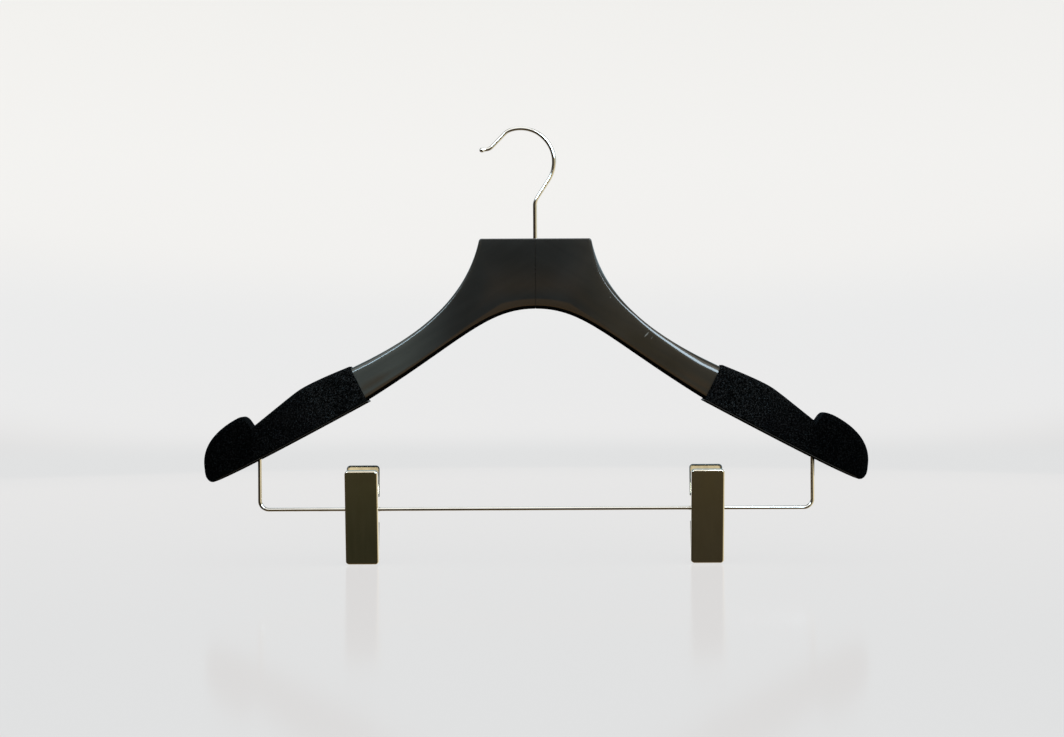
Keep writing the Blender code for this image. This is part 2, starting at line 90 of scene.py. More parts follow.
# Arms
NECK_HALF_WIDTH = 0.0354
NECK_SIDE = (0.0374, -0.0016)  # where the neck's side starts down
NECK_SIDE_ANGLE = math.radians(77)
SWEEP_HANDLES = (0.0530, 0.0229)  # of the curve from the neck's side to the cap
ARCH_TOP_Z = -0.0462
ARCH_HANDLES = (0.0326, 0.0743)
ARCH_END_ANGLE = math.radians(32)
NECK_HALF_THICKNESS = 0.0070
ARM_BOTTOM_ROUND = 0.0024
CREASE_ANGLE = math.radians(44)  # how far the surface turns at the line between face and top edge
CREASE_RADIUS = {-1: (0.0008, 0.0032), 1: (0.0006, 0.0048)}  # on each arm, at the neck and at the cap
EDGE_OVER_NECK = 0.0009  # how far that line lies below the neck's flat top
EDGE_HEIGHTS = {  # and below the outline of each arm, by share of the way from the neck to the cap
    -1: ((0, 0.0013), (0.1, 0.0016), (0.4, 0.0020), (0.7, 0.0027), (1, 0.0038)),
    1: ((0, 0.0016), (0.08, 0.0036), (0.2, 0.0030), (0.4, 0.0022), (0.7, 0.0034), (1, 0.0056)),
}
FACE_CROWN = 0.00012
SEAM_DEPTH = 0.00025
UNDERSIDE = -0.28  # faces that look down more steeply than this get a darker, unreflective finish as painted shade
PAINTED_LIGHT_ENDS = {  # each arm's end, painted paler as painted reflection: how far out it starts and is full, and its colour
    "left": (0.050, 0.100, (0.048, 0.049, 0.043)),
    "right": (0.015, 0.060, (0.0210, 0.0140, 0.0065)),
}
SCUFFS = {  # centre as (x, z), turn about Y, length, width and strength
    "left": (),
    "right": (
        ((0.0733, -0.0640), math.radians(-48), 0.0052, 0.0010, 0.9),
        ((0.0768, -0.0662), math.radians(-55), 0.0030, 0.0008, 0.35),
        ((0.0495, -0.0393), math.radians(-40), 0.0012, 0.0008, 0.5),
    ),
}

# Inside the neck, as heights below its top
BUSHING_RADIUS = 0.0026
POCKET_RADIUS = 0.0052
POCKET_TOP = -0.0180
POCKET_BOTTOM = -0.0290
DOWEL_RADIUS = 0.0030
DOWEL_LENGTH = 0.0300
DOWEL_Z = -0.0380

# Shoulder caps, in their own axes: s runs outward along the bottom edge, n points up from it
CAP_CORNER = (0.1110, -0.1078)
CAP_SLOPE = math.radians(26.75)
CAP_LENGTH = 0.1186
CAP_WALL = 0.0012
CAP_HALF_THICKNESS = (0.0105, 0.01149)  # where the arm enters, and where the tip starts to thin
CAP_TOP_ROUND = 0.0050
CAP_BOTTOM_ROUND = 0.0012
CAP_RIM = 0.0006  # how far in from its mouth the shell's edge is eased
CAVITY_TOP_ROUND = 0.0048
CAVITY_BOTTOM_ROUND = 0.0018
CAP_TIP_HALF_THICKNESS = 0.0030
CAP_TIP_START = 0.0960
CAP_TIP_HEIGHT = 0.0050
NOTCH = (0.0743, 0.0202)  # its lowest point
NOTCH_SHIFTS = {-1: 0.0016, 1: -0.0014}  # how far out the left and the right cap's notch sits from there
TONGUE_LENGTH = 0.0920
SOLE_THICKNESS = 0.0010
SOLE_PROUD = 0.00025  # how far the sole stands out past the flock
SOLE_LIP = 0.0003  # how far it runs out under the arm
SOLE_END = 0.1135
SOLE_UNDERSIDE = -0.3  # as UNDERSIDE, for the sole

# Clips, from the pivot on the bar's axis
CLIP_TILT = math.radians(6.5)
CLIP_FACE_Y = -0.00725
CLIP_TOP = 0.0270
CLIP_BOTTOM = -0.0361
CLIP_WIDTH = 0.0220
CLIP_SHEET = 0.0006
CLIP_FLANGE = 0.0040
BROAD_FACE = 3e-5  # area above which a plate's face is shaded flat
CLIP_EDGE_ROUND = 0.0011
CLIP_CORNER_ROUND = 0.0024  # of the face's outline, seen from the front
BACK_TOP = 0.0294
WAIST_WIDTH = 0.0198  # of the back plate where its ears nest inside the front plate's
WAIST_HALF_HEIGHT = 0.0085
WAIST_ROUND = 0.0010
EAR_HALF_HEIGHT = 0.0080
EAR_RADIUS = 0.0046
EAR_TURN = math.radians(75)
EAR_HOLE_RADIUS = 0.0018
SLEEVE_RADIUS = 0.0021
SLEEVE_BORE_RADIUS = 0.0017
SLEEVE_LENGTH = 0.0176
PAD_WIDTH = 0.0174
PAD_HEIGHT = 0.0110
PAD_SEAT_Y = 0.0011  # from the plate's outer face to the pad's back
PAD_RIB = 0.00045
PAD_RIBS = 6
SPRING_WIRE_RADIUS = 0.0005
SPRING_SIDES = 12
SPRING_RADIUS = 0.0031
SPRING_TURNS = 5.5
SPRING_HALF_LENGTH = 0.0040
SPRING_REAR_LEG = (0.0073, 0.0160)  # its foot's Y and Z from the bar, against the back plate
SPRING_FRONT_LEG = (-0.0031, 0.0095)  # clear of the front plate when the clip is squeezed open
SPRING_FOOT = 0.0030

# Camera and studio
CAMERA_DISTANCE = 1.15
CAMERA_FROM_AXIS = -0.0025
CAMERA_BELOW_NECK = -0.0861
CAMERA_LENS = 58.49
CAMERA_ROLL = math.radians(0.27)
FLOOR_GAP = 0.0005
COVE_FLOOR_RADIUS = 1.1
COVE_BEND = 1.0
COVE_HEIGHT = 3.2
COVE_GLOSS = 0.15
COVE_GLOSS_ROUGHNESS = 0.12
COVE_PAINT = 0.12
COVE_TONES = (  # the cove's own brightness, by height in metres
    (0.0, (0.745, 0.733, 0.730)),
    (0.15, (0.745, 0.742, 0.744)),
    (0.5, (0.785, 0.785, 0.782)),
    (1.0, (0.785, 0.785, 0.775)),
)
LIGHTS = (  # name, place from the scene's origin, size, power in watts and colour
    ("right_window", (0.60, -0.86, 0.47), (0.70, 0.58), 15, (0.66, 0.85, 1.0)),
    ("left_window", (-0.68, -1.15, 0.62), (0.4, 0.3), 6, (0.58, 0.83, 1.0)),
)


# Curves and outlines


def bezier(p0, p1, p2, p3, steps):
    """Points along a cubic curve, without its last one, so that curves chain."""
    points = []
    for i in range(steps):
        t = i / steps
        weights = ((1 - t) ** 3, 3 * (1 - t) ** 2 * t, 3 * (1 - t) * t * t, t**3)
        weighted = tuple(zip(weights, (p0, p1, p2, p3)))
        points.append(tuple(sum(w * p[axis] for w, p in weighted) for axis in (0, 1)))
    return points


def height_at(outline, s):
    """The outline's n at s, for an outline whose s only grows."""
    for (s0, n0), (s1, n1) in zip(outline, outline[1:]):
        if s <= s1:
            return n0 + (n1 - n0) * (s - s0) / (s1 - s0)
    return outline[-1][1]


def bend(corner, before, after, radius, steps):
    """Points on the arc that rounds a corner of a route through before, corner and after."""
    into = (corner - before).normalized()
    out = (after - corner).normalized()
    half = into.angle(out) / 2
    reach = radius * math.tan(half)
    centre = corner + (out - into).normalized() * radius / math.cos(half)
    start = corner - into * reach - centre
    end = corner + out * reach - centre
    return [centre + start.slerp(end, i / steps) * radius for i in range(steps + 1)]


def smooth_step(value):
    value = min(max(value, 0), 1)
    return value * value * (3 - 2 * value)


def evenly(first, last, steps):
    return [first + (last - first) * i / steps for i in range(steps)]


# Mesh building


def finish_mesh(bm, name, smooth_angle=30):
    bmesh.ops.recalc_face_normals(bm, faces=bm.faces)
    if bm.calc_volume(signed=True) < 0:
        bmesh.ops.reverse_faces(bm, faces=bm.faces)
    mesh = bpy.data.meshes.new(name)
    bm.to_mesh(mesh)
    bm.free()
    mesh.shade_smooth()
    mesh.set_sharp_from_angle(angle=math.radians(smooth_angle))
    return mesh


def add_object(name, mesh):
    piece = bpy.data.objects.new(name, mesh)
    bpy.context.scene.collection.objects.link(piece)
    return piece


def add_piece(name, mesh, material, body, slot, *nodes):
    """Links a piece of the object. It rides on a body and may replace a CAD node. Its slot is not used."""
    piece = add_object(name, mesh)
    mesh.materials.clear()
    mesh.materials.append(material)
    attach(piece, body)
    if nodes:
        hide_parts(*nodes)
    return piece


def loft(name, rings, smooth_angle=30):
    """A closed body through the rings, which all have the same number of points."""
    bm = bmesh.new()
    loops = [[bm.verts.new(point) for point in ring] for ring in rings]
    for near, far in zip(loops, loops[1:]):
        for i in range(len(near)):
            j = (i + 1) % len(near)
            bm.faces.new((near[i], near[j], far[j], far[i]))
    bm.faces.new(loops[0])
    bm.faces.new(reversed(loops[-1]))
    return finish_mesh(bm, name, smooth_angle)


def swept(name, points, radii, sides, origin):
    """A round wire through the points. Its frame is carried along without twisting."""
    points = [Vector(point) + origin for point in points]
    tangents = []
    for i in range(len(points)):
        ahead = points[min(i + 1, len(points) - 1)]
        behind = points[max(i - 1, 0)]
        tangents.append((ahead - behind).normalized())
    side = tangents[0].orthogonal().normalized()
    rings = []
    for i, (point, tangent, radius) in enumerate(zip(points, tangents, radii)):
        if i:
            side = tangents[i - 1].rotation_difference(tangent) @ side
        side = (side - tangent * side.dot(tangent)).normalized()
        across = tangent.cross(side)
        angles = [2 * math.pi * k / sides for k in range(sides)]
        rings.append([point + (side * math.cos(a) + across * math.sin(a)) * radius for a in angles])
    return loft(name, rings, 50)


def cylinder(name, start, end, radius, sides=48):
    start, end = Vector(start) + NECK_TOP, Vector(end) + NECK_TOP
    bm = bmesh.new()
    bmesh.ops.create_cone(
        bm, cap_ends=True, segments=sides, radius1=radius, radius2=radius, depth=(end - start).length
    )
    turn = (end - start).to_track_quat("Z", "Y")
    for vert in bm.verts:
        vert.co = turn @ vert.co + (start + end) / 2
    return finish_mesh(bm, name)


def cut_away(mesh, cutters, smooth_angle=30):
    """The mesh with the cutters' meshes taken out of it."""
    body = add_object("body_to_cut", mesh)
    tools = [add_object("cutter", cutter) for cutter in cutters]
    for tool in tools:
        modifier = body.modifiers.new("cut", "BOOLEAN")
        modifier.operation = "DIFFERENCE"
        modifier.solver = "EXACT"
        modifier.object = tool
    graph = bpy.context.evaluated_depsgraph_get()
    result = bpy.data.meshes.new_from_object(body.evaluated_get(graph))
    for item in (body, *tools):
        bpy.data.objects.remove(item)
    result.name = mesh.name
    result.shade_smooth()
    result.set_sharp_from_angle(angle=math.radians(smooth_angle))
    return result


def section_ring(bottom, top, side, half_profile):
    """A ring round the section that reaches from bottom up to top, from its front half as (y, n)."""
    up = Vector((top[0] - bottom[0], 0, top[1] - bottom[1])).normalized()
    ring = []
    for y, n in half_profile + [(-y, n) for y, n in reversed(half_profile)]:
        point = Vector((bottom[0], y, bottom[1])) + up * n
        ring.append(Vector((point.x * side, point.y, point.z)) + NECK_TOP)
    return ring


def round_corner(y, n, radius, first, last, steps):
    """Points on an arc round the centre (y, n) as (y, n), with angles in degrees up from the front."""
    angles = [math.radians(a) for a in (*evenly(first, last, steps), last)]
    return [(y + radius * math.cos(a), n + radius * math.sin(a)) for a in angles]


# Shoulder caps and arms


def on_cap(s, n):
    """A point of the cap's own axes, as (x, z) from the middle of the neck's top."""
    x = CAP_CORNER[0] + s * math.cos(CAP_SLOPE) + n * math.sin(CAP_SLOPE)
    z = CAP_CORNER[1] - s * math.sin(CAP_SLOPE) + n * math.cos(CAP_SLOPE)
    return x, z


def cap_outlines(side):
    """The cap's top and bottom edges as (s, n) points. They meet at the tip."""
    tip = (CAP_LENGTH, CAP_TIP_HEIGHT)
    shift = NOTCH_SHIFTS[side]
    slope = [
        *bezier((0, 0.0266), (0.010, 0.0274), (0.022, 0.0284), (0.032, 0.0282), 16),
        *bezier((0.032, 0.0282), (0.037, 0.0281), (0.040, 0.0275), (0.046, 0.0263), 12),
        (0.046, 0.0263),
        (NOTCH[0] + shift, NOTCH[1] - 0.2 * shift),
    ]
    bump = [
        *bezier(
            (0.0752 + shift, 0.0262),
            (0.0757 + shift, 0.0284),
            (0.0772 + shift, 0.0296),
            (0.081, 0.0297),
            12,
        ),
        *bezier((0.081, 0.0297), (0.097, 0.0297), (0.115, 0.024), tip, 60),
        tip,
    ]
    bottom = [
        *bezier((0, 0), (0.045, -0.0012), (0.095, -0.0022), (0.1145, -0.0009), 30),
        *bezier((0.1145, -0.0009), (0.117, -0.0003), (0.1187, 0.0015), tip, 20),
        tip,
    ]
    return slope, bump, bottom


def cap_half_thickness(s):
    entry, middle = CAP_HALF_THICKNESS
    if s < CAP_TIP_START:
        return entry + (middle - entry) * math.sin(math.pi / 2 * min(max(s, 0) / CAP_TIP_START, 1))
    run = (s - CAP_TIP_START) / (CAP_LENGTH - CAP_TIP_START)
    return CAP_TIP_HALF_THICKNESS + (middle - CAP_TIP_HALF_THICKNESS) * math.sqrt(max(0, 1 - run * run))


def rounded_profile(half, height, top_round, bottom_round, steps=8):
    largest = min(half, height / 2) * 0.98
    top_round = min(top_round, largest)
    bottom_round = min(bottom_round, largest)
    profile = round_corner(half - bottom_round, bottom_round, bottom_round, -90, 0, steps)
    return profile + round_corner(half - top_round, height - top_round, top_round, 0, 90, steps)


def cap_shell(name, side):
    """The flocked shell. It stands on the sole, so its bottom edge is raised by the sole's thickness.

    The sections lie closer together at the mouth, round the notch and at the tip.
    """
    slope, bump, bottom = cap_outlines(side)
    edge = slope + bump
    notch = slope[-1][0]
    stations = [0, 0.0002, 0.0006, *evenly(0.001, notch - 0.0008, 44)]
    stations += [notch + past / 10000 for past in (-8, -4, 0, 2, 5, 9, 12, 16, 21, 29, 39)]
    stations += [*evenly(0.0806, 0.1165, 40), 0.1165, 0.1171, 0.1176, 0.1180, 0.1183, 0.1185]
    rings = []
    for s in stations:
        lift = SOLE_THICKNESS * smooth_step((SOLE_END - s) / 0.004)
        low = on_cap(s, height_at(bottom, s) + lift)
        high = on_cap(s, height_at(edge, s))
        rim = CAP_RIM - min(s, CAP_RIM)
        half = cap_half_thickness(s) - SOLE_PROUD * smooth_step((CAP_TIP_START - s) / 0.01) - 0.4 * rim
        profile = rounded_profile(half, math.dist(low, high) - 0.4 * rim, CAP_TOP_ROUND, CAP_BOTTOM_ROUND)
        rings.append(section_ring(low, high, side, profile))
    return loft(name, rings, 32)


def tongue_rings(inset, first, last, side):
    """Sections of the arm's end in the cap, this far in from the cap's skin. They pass under the notch."""
    slope, _, bottom = cap_outlines(side)
    stations = [first, *(s / 1000 for s in (8, 16, 24, 32, 38, 46, 59)), slope[-1][0], 0.083, last]
    rings = []
    for s in stations:
        low = on_cap(s, height_at(bottom, max(s, 0)) + inset)
        high = on_cap(s, height_at(slope, max(s, 0)) - inset)
        half = cap_half_thickness(s) - inset
        rings.append((low, high, half))
    return rings


def cap_cavity(side):
    rings = []
    for low, high, half in tongue_rings(CAP_WALL, -0.005, TONGUE_LENGTH + GAP, side):
        profile = rounded_profile(half, math.dist(low, high), CAVITY_TOP_ROUND, CAVITY_BOTTOM_ROUND)
        rings.append(section_ring(low, high, side, profile))
    return loft("cap_cavity", rings)


def cap_sole(name, side):
    """The thin strip along the cap's bottom edge, with a lip that runs out under the arm."""
    bottom = cap_outlines(side)[2]
    rings = []
    for s in (*evenly(-SOLE_LIP, SOLE_END, 60), SOLE_END):
        floor = height_at(bottom, max(s, 0))
        low = on_cap(s, floor)
        high = on_cap(s, floor + SOLE_THICKNESS - 0.00005)
        half = cap_half_thickness(max(s, 0)) - 0.0001
        profile = rounded_profile(half, math.dist(low, high), 0.00025, 0.0006, 4)
        rings.append(section_ring(low, high, side, profile))
    return loft(name, rings, 40)


def arm_outlines(side):
    """Matching points along the arm's top edge and along the arch under it, from the seam to the cap."""
    side_run = (math.cos(NECK_SIDE_ANGLE), -math.sin(NECK_SIDE_ANGLE))
    inset = CAP_WALL + GAP
    slope, _, _ = cap_outlines(side)
    top_end = on_cap(0, slope[0][1] - inset)
    arch_end = on_cap(0, inset)
    corner_pull = 0.0010
    fine_steps = 1500
    top = [(x, 0) for x in evenly(GAP / 2, NECK_HALF_WIDTH, 16)]
    top += bezier(
        (NECK_HALF_WIDTH, 0),
        (NECK_HALF_WIDTH + corner_pull, 0),
        (NECK_SIDE[0] - corner_pull * side_run[0], NECK_SIDE[1] - corner_pull * side_run[1]),
        NECK_SIDE,
        10,
    )
    top += bezier(
        NECK_SIDE,
        (NECK_SIDE[0] + SWEEP_HANDLES[0] * side_run[0], NECK_SIDE[1] + SWEEP_HANDLES[0] * side_run[1]),
        (
            top_end[0] - SWEEP_HANDLES[1] * math.cos(CAP_SLOPE),
            top_end[1] + SWEEP_HANDLES[1] * math.sin(CAP_SLOPE),
        ),
        top_end,
        72,
    )
    arch = bezier(
        (GAP / 2, ARCH_TOP_Z),
        (ARCH_HANDLES[0], ARCH_TOP_Z),
        (
            arch_end[0] - ARCH_HANDLES[1] * math.cos(ARCH_END_ANGLE),
            arch_end[1] + ARCH_HANDLES[1] * math.sin(ARCH_END_ANGLE),
        ),
        arch_end,
        fine_steps,
    )
    feet = [min(arch, key=lambda foot: math.dist(foot, point)) for point in top]
    return top, feet


def arm_profile(half, height, edge_height, crease_radius):
    """The front half of an arm's section: rounded bottom edge, crowned face, crease, curved top edge."""
    profile = round_corner(half - ARM_BOTTOM_ROUND, ARM_BOTTOM_ROUND, ARM_BOTTOM_ROUND, -90, 0, 6)
    crease_n = height - edge_height
    for i in range(1, 10):
        share = i / 10
        n = ARM_BOTTOM_ROUND + (crease_n - ARM_BOTTOM_ROUND) * share
        profile.append((half + FACE_CROWN * (4 * share * (1 - share) - 1) * smooth_step(share * 4), n))
    start_y = half - FACE_CROWN
    turn = math.degrees(CREASE_ANGLE)
    crease = round_corner(start_y - crease_radius, crease_n, crease_radius, 0, turn, 6)
    profile += crease
    y, n = crease[-1]
    radius = (height - n) / (1 - math.sin(CREASE_ANGLE))
    centre = (y - radius * math.cos(CREASE_ANGLE), n - radius * math.sin(CREASE_ANGLE))
    return profile + round_corner(*centre, radius, turn, 90, 10)[1:]


def arm_body(name, side):
    top, feet = arm_outlines(side)
    inset = CAP_WALL + GAP
    end_half = cap_half_thickness(0) - inset
    sharp, soft = CREASE_RADIUS[side]
    rings = []
    for high, low in zip(top, feet):
        way = (high[0] - NECK_SIDE[0]) / (CAP_CORNER[0] - NECK_SIDE[0])
        run = smooth_step(way)
        half = NECK_HALF_THICKNESS + (end_half - NECK_HALF_THICKNESS) * run
        corner = smooth_step((high[0] - NECK_HALF_WIDTH) / 0.0045)
        down_arm = height_at(EDGE_HEIGHTS[side], way)
        edge_height = EDGE_OVER_NECK + (down_arm - EDGE_OVER_NECK) * corner
        profile = arm_profile(half, math.dist(low, high), edge_height, sharp + (soft - sharp) * run)
        rings.append(section_ring(low, high, side, profile))
    for low, high, half in tongue_rings(inset, 0, TONGUE_LENGTH, side):
        profile = arm_profile(half, math.dist(low, high), EDGE_HEIGHTS[side][-1][1], soft)
        rings.append(section_ring(low, high, side, profile))
    return loft(name, rings, 40)


def neck_seam(name):
    """The thin line of glue between the two halves, a little below their surface."""
    rings = []
    for x in (-0.45 * GAP, 0.45 * GAP):
        low, high = (x, ARCH_TOP_Z + SEAM_DEPTH), (x, -SEAM_DEPTH)
        profile = rounded_profile(NECK_HALF_THICKNESS - SEAM_DEPTH, math.dist(low, high), 0.0008, 0.0012)
        rings.append(section_ring(low, high, 1, profile))
    return loft(name, rings)


def neck_cutters():
    half = DOWEL_LENGTH / 2 + GAP
    return [
        cylinder("bushing_bore", (0, 0, POCKET_TOP - GAP), (0, 0, PAST), BUSHING_RADIUS + GAP),
        cylinder("nut_pocket", (0, 0, POCKET_BOTTOM), (0, 0, POCKET_TOP), POCKET_RADIUS),
        cylinder("dowel_bore", (-half, 0, DOWEL_Z), (half, 0, DOWEL_Z), DOWEL_RADIUS + GAP),
    ]


def leg_cutter(side):
    x = side * BAR_HALF_SPAN
    return cylinder("leg_bore", (x, 0, BAR_Z), (x, 0, BAR_LEG_TOP + GAP), WIRE_RADIUS + GAP, 24)


# Wires


def hook_route():
    """The hook wire's points and radii, from its foot inside the neck to its ball tip."""
    arc = []
    arc_steps = 90
    for i in range(arc_steps + 1):
        angle = HOOK_ARC_START + (HOOK_ARC_END - HOOK_ARC_START) * i / arc_steps
        arc.append(HOOK_CENTRE + HOOK_RADIUS * Vector((math.cos(angle), 0, math.sin(angle))))
    lean = Vector((math.sin(-HOOK_ARC_START), 0, math.cos(HOOK_ARC_START)))
    knee = arc[0] - lean * (arc[0].x / lean.x)
    foot = Vector((0, 0, HOOK_FOOT_Z))
    tail_lead = Vector((-math.sin(HOOK_ARC_END), 0, math.cos(HOOK_ARC_END))) * HOOK_TAIL_LEAD
    tail_corner = arc[-1] + tail_lead
    points = [foot, foot + Vector((0, 0, 0.0003)), foot / 2]
    points += [*bend(knee, foot, arc[0], HOOK_KNEE_BEND, 18), *arc]
    points += bend(tail_corner, arc[-1], HOOK_TAIL_TURN, HOOK_TAIL_BENDS[0], 16)
    points += bend(HOOK_TAIL_TURN, tail_corner, HOOK_TIP, HOOK_TAIL_BENDS[1], 12)
    radii = [WIRE_RADIUS * 0.8] + [WIRE_RADIUS] * (len(points) - 1)
    along = (HOOK_TIP - HOOK_TAIL_TURN).normalized()
    neck_angle = math.pi - math.asin(WIRE_RADIUS / HOOK_BALL_RADIUS)
    ball_steps = 20
    for i in range(ball_steps):
        angle = neck_angle * (1 - i / (ball_steps - 0.7))
        points.append(HOOK_TIP + along * HOOK_BALL_RADIUS * math.cos(angle))
        radii.append(HOOK_BALL_RADIUS * math.sin(angle))
    return points, radii


def bar_route():
    left_top = Vector((-BAR_HALF_SPAN, 0, BAR_LEG_TOP))
    left_corner = Vector((-BAR_HALF_SPAN, 0, BAR_Z))
    right_corner = Vector((BAR_HALF_SPAN, 0, BAR_Z))
    right_top = Vector((BAR_HALF_SPAN, 0, BAR_LEG_TOP))
    points = [left_top, *bend(left_corner, left_top, right_corner, BAR_BEND, 16)]
    return points + [*bend(right_corner, left_corner, right_top, BAR_BEND, 16), right_top]


def spring_route():
    points = [
        Vector((SPRING_FOOT - SPRING_HALF_LENGTH, *SPRING_FRONT_LEG)),
        Vector((-SPRING_HALF_LENGTH, *SPRING_FRONT_LEG)),
    ]
    steps = round(SPRING_TURNS * 28)
    for i in range(steps + 1):
        share = i / steps
        angle = 2 * math.pi * SPRING_TURNS * share
        x = SPRING_HALF_LENGTH * (2 * share - 1)
        points.append(Vector((x, -SPRING_RADIUS * math.cos(angle), -SPRING_RADIUS * math.sin(angle))))
    points.append(Vector((SPRING_HALF_LENGTH, *SPRING_REAR_LEG)))
    points.append(Vector((SPRING_HALF_LENGTH - SPRING_FOOT, *SPRING_REAR_LEG)))
    return points


def finish_underside(mesh, finish, limit):
    """Gives the faces that look down more steeply than the limit a finish of their own."""
    mesh.materials.append(finish)
    for face in mesh.polygons:
        face.material_index = int(face.normal.z < limit)


# Clips


def plate_outline(top):
    """A clip plate from the side, as (y, z): a flanged sheet with a rounded ear round the pivot."""
    rear = CLIP_FACE_Y + CLIP_FLANGE
    slope = math.tan(CLIP_TILT)
    jaw_rear = CLIP_BOTTOM * slope - GAP / 2
    outline = [(CLIP_FACE_Y, CLIP_BOTTOM), (jaw_rear, CLIP_BOTTOM), (rear, (rear + GAP / 2) / slope)]
    outline.append((rear, -EAR_HALF_HEIGHT))
    steps = 24
    for i in range(steps + 1):
        angle = EAR_TURN * (2 * i / steps - 1)
        outline.append((EAR_RADIUS * math.cos(angle), EAR_RADIUS * math.sin(angle)))
    outline += [(rear, EAR_HALF_HEIGHT), (rear, top), (CLIP_FACE_Y, top)]
    return outline


def extruded(outline, half_width):
    """A body with this outline in (y, z), as wide along X as twice half_width."""
    bm = bmesh.new()
    face = bm.faces.new([bm.verts.new((-half_width, y, z)) for y, z in outline])
    made = bmesh.ops.extrude_face_region(bm, geom=[face])["geom"]
    for vert in (item for item in made if isinstance(item, bmesh.types.BMVert)):
        vert.co.x = half_width
    bmesh.ops.recalc_face_normals(bm, faces=bm.faces)
    return bm


def bevelled(bm, edges, offset, segments):
    bmesh.ops.bevel(bm, geom=edges, offset=offset, segments=segments, profile=0.5, affect="EDGES")


def along_y(edge):
    run = edge.verts[1].co - edge.verts[0].co
    return abs(run.x) < 1e-6 and abs(run.z) < 1e-6


def round_face(bm, face_y, corners, corner_round, edge_round):
    """Rounds the chosen corners first, and then the whole rim of the face at face_y."""
    bevelled(bm, corners, corner_round, 8)
    rim = [edge for edge in bm.edges if all(abs(vert.co.y - face_y) < 1e-6 for vert in edge.verts)]
    bevelled(bm, rim, edge_round, 6)


def plate_block(name, top):
    bm = extruded(plate_outline(top), CLIP_WIDTH / 2)
    corners = []
    for edge in bm.edges:
        level = edge.verts[0].co.z
        if along_y(edge) and (level > top - 1e-6 or level < CLIP_BOTTOM + 1e-6):
            corners.append(edge)
    round_face(bm, CLIP_FACE_Y, corners, CLIP_CORNER_ROUND, CLIP_EDGE_ROUND)
    return finish_mesh(bm, name)


def plate_hollow(inner, floor, ceiling):
    """What the pressed sheet encloses. Its edges by the face are rounded like the sheet's own."""
    face_y = CLIP_FACE_Y + CLIP_SHEET
    rear_y = 0.02
    bm = extruded([(face_y, floor), (rear_y, floor), (rear_y, ceiling), (face_y, ceiling)], inner)
    corners = [edge for edge in bm.edges if along_y(edge)]
    round_face(bm, face_y, corners, CLIP_CORNER_ROUND - CLIP_SHEET, CLIP_EDGE_ROUND - CLIP_SHEET)
    return finish_mesh(bm, "hollow")


def ear_hole():
    bm = bmesh.new()
    bmesh.ops.create_cone(
        bm,
        cap_ends=True,
        segments=40,
        radius1=EAR_HOLE_RADIUS,
        radius2=EAR_HOLE_RADIUS,
        depth=2 * CLIP_WIDTH,
        matrix=Matrix.Rotation(math.pi / 2, 4, "Y"),
    )
    return finish_mesh(bm, "ear_hole")


def waist_cut(side):
    """What is taken off one side of the back plate round its ears. Its corners are rounded."""
    height = WAIST_HALF_HEIGHT
    low_y, high_y = CLIP_FACE_Y - PAST, 0.012
    bm = extruded([(low_y, -height), (high_y, -height), (high_y, height), (low_y, height)], PAST)
    corners = [edge for edge in bm.edges if along_y(edge) and edge.verts[0].co.x * side < 0]
    bevelled(bm, corners, WAIST_ROUND, 5)
    for vert in bm.verts:
        vert.co.x += side * (WAIST_WIDTH / 2 + PAST)
    return finish_mesh(bm, "waist_cut")


def plate_mesh(name, top, waisted):
    """A pressed plate. A waisted one is narrower round its ears, to nest inside the other plate's."""
    inner = CLIP_WIDTH / 2 - CLIP_SHEET
    floor = CLIP_BOTTOM - PAST
    ceiling = top - CLIP_SHEET
    cutters = [ear_hole()]
    if waisted:
        step = WAIST_HALF_HEIGHT + CLIP_SHEET
        cutters += [waist_cut(-1), waist_cut(1)]
        cutters += [plate_hollow(inner, step, ceiling), plate_hollow(inner, floor, -step)]
        inner = WAIST_WIDTH / 2 - CLIP_SHEET
        floor, ceiling = -step - 0.002, step + 0.002
    cutters.append(plate_hollow(inner, floor, ceiling))
    plate = cut_away(plate_block(name, top), cutters, 35)
    for face in plate.polygons:
        face.use_smooth = face.area < BROAD_FACE
    return plate


def dull_sheared_edges(plate, finish):
    """Gives the plate's sheared rear edges their own finish. The plate is still in its own axes."""
    plate.materials.append(finish)
    for face in plate.polygons:
        faces_rear = face.normal.y > 0.3 and face.center.y > CLIP_FACE_Y + 2 * CLIP_EDGE_ROUND
        face.material_index = int(faces_rear)


def pad_mesh(name):
    """A rubber wedge on the plate's inner face, with ribs where the two pads meet."""
    outer_y = CLIP_FACE_Y + PAD_SEAT_Y
    low = CLIP_BOTTOM + GAP
    outline = [(outer_y, low)]
    for i in range(2 * PAD_RIBS + 1):
        z = low + PAD_HEIGHT * i / (2 * PAD_RIBS)
        meet = (-GAP / 2 + z * math.sin(CLIP_TILT)) / math.cos(CLIP_TILT)
        outline.append((meet - (PAD_RIB if i % 2 == 0 else 0), z))
    outline.append((outer_y, low + PAD_HEIGHT))
    bm = extruded(outline, PAD_WIDTH / 2)
    bmesh.ops.bevel(bm, geom=list(bm.edges), offset=0.00012, segments=2, profile=0.5, affect="EDGES")
    return finish_mesh(bm, name)


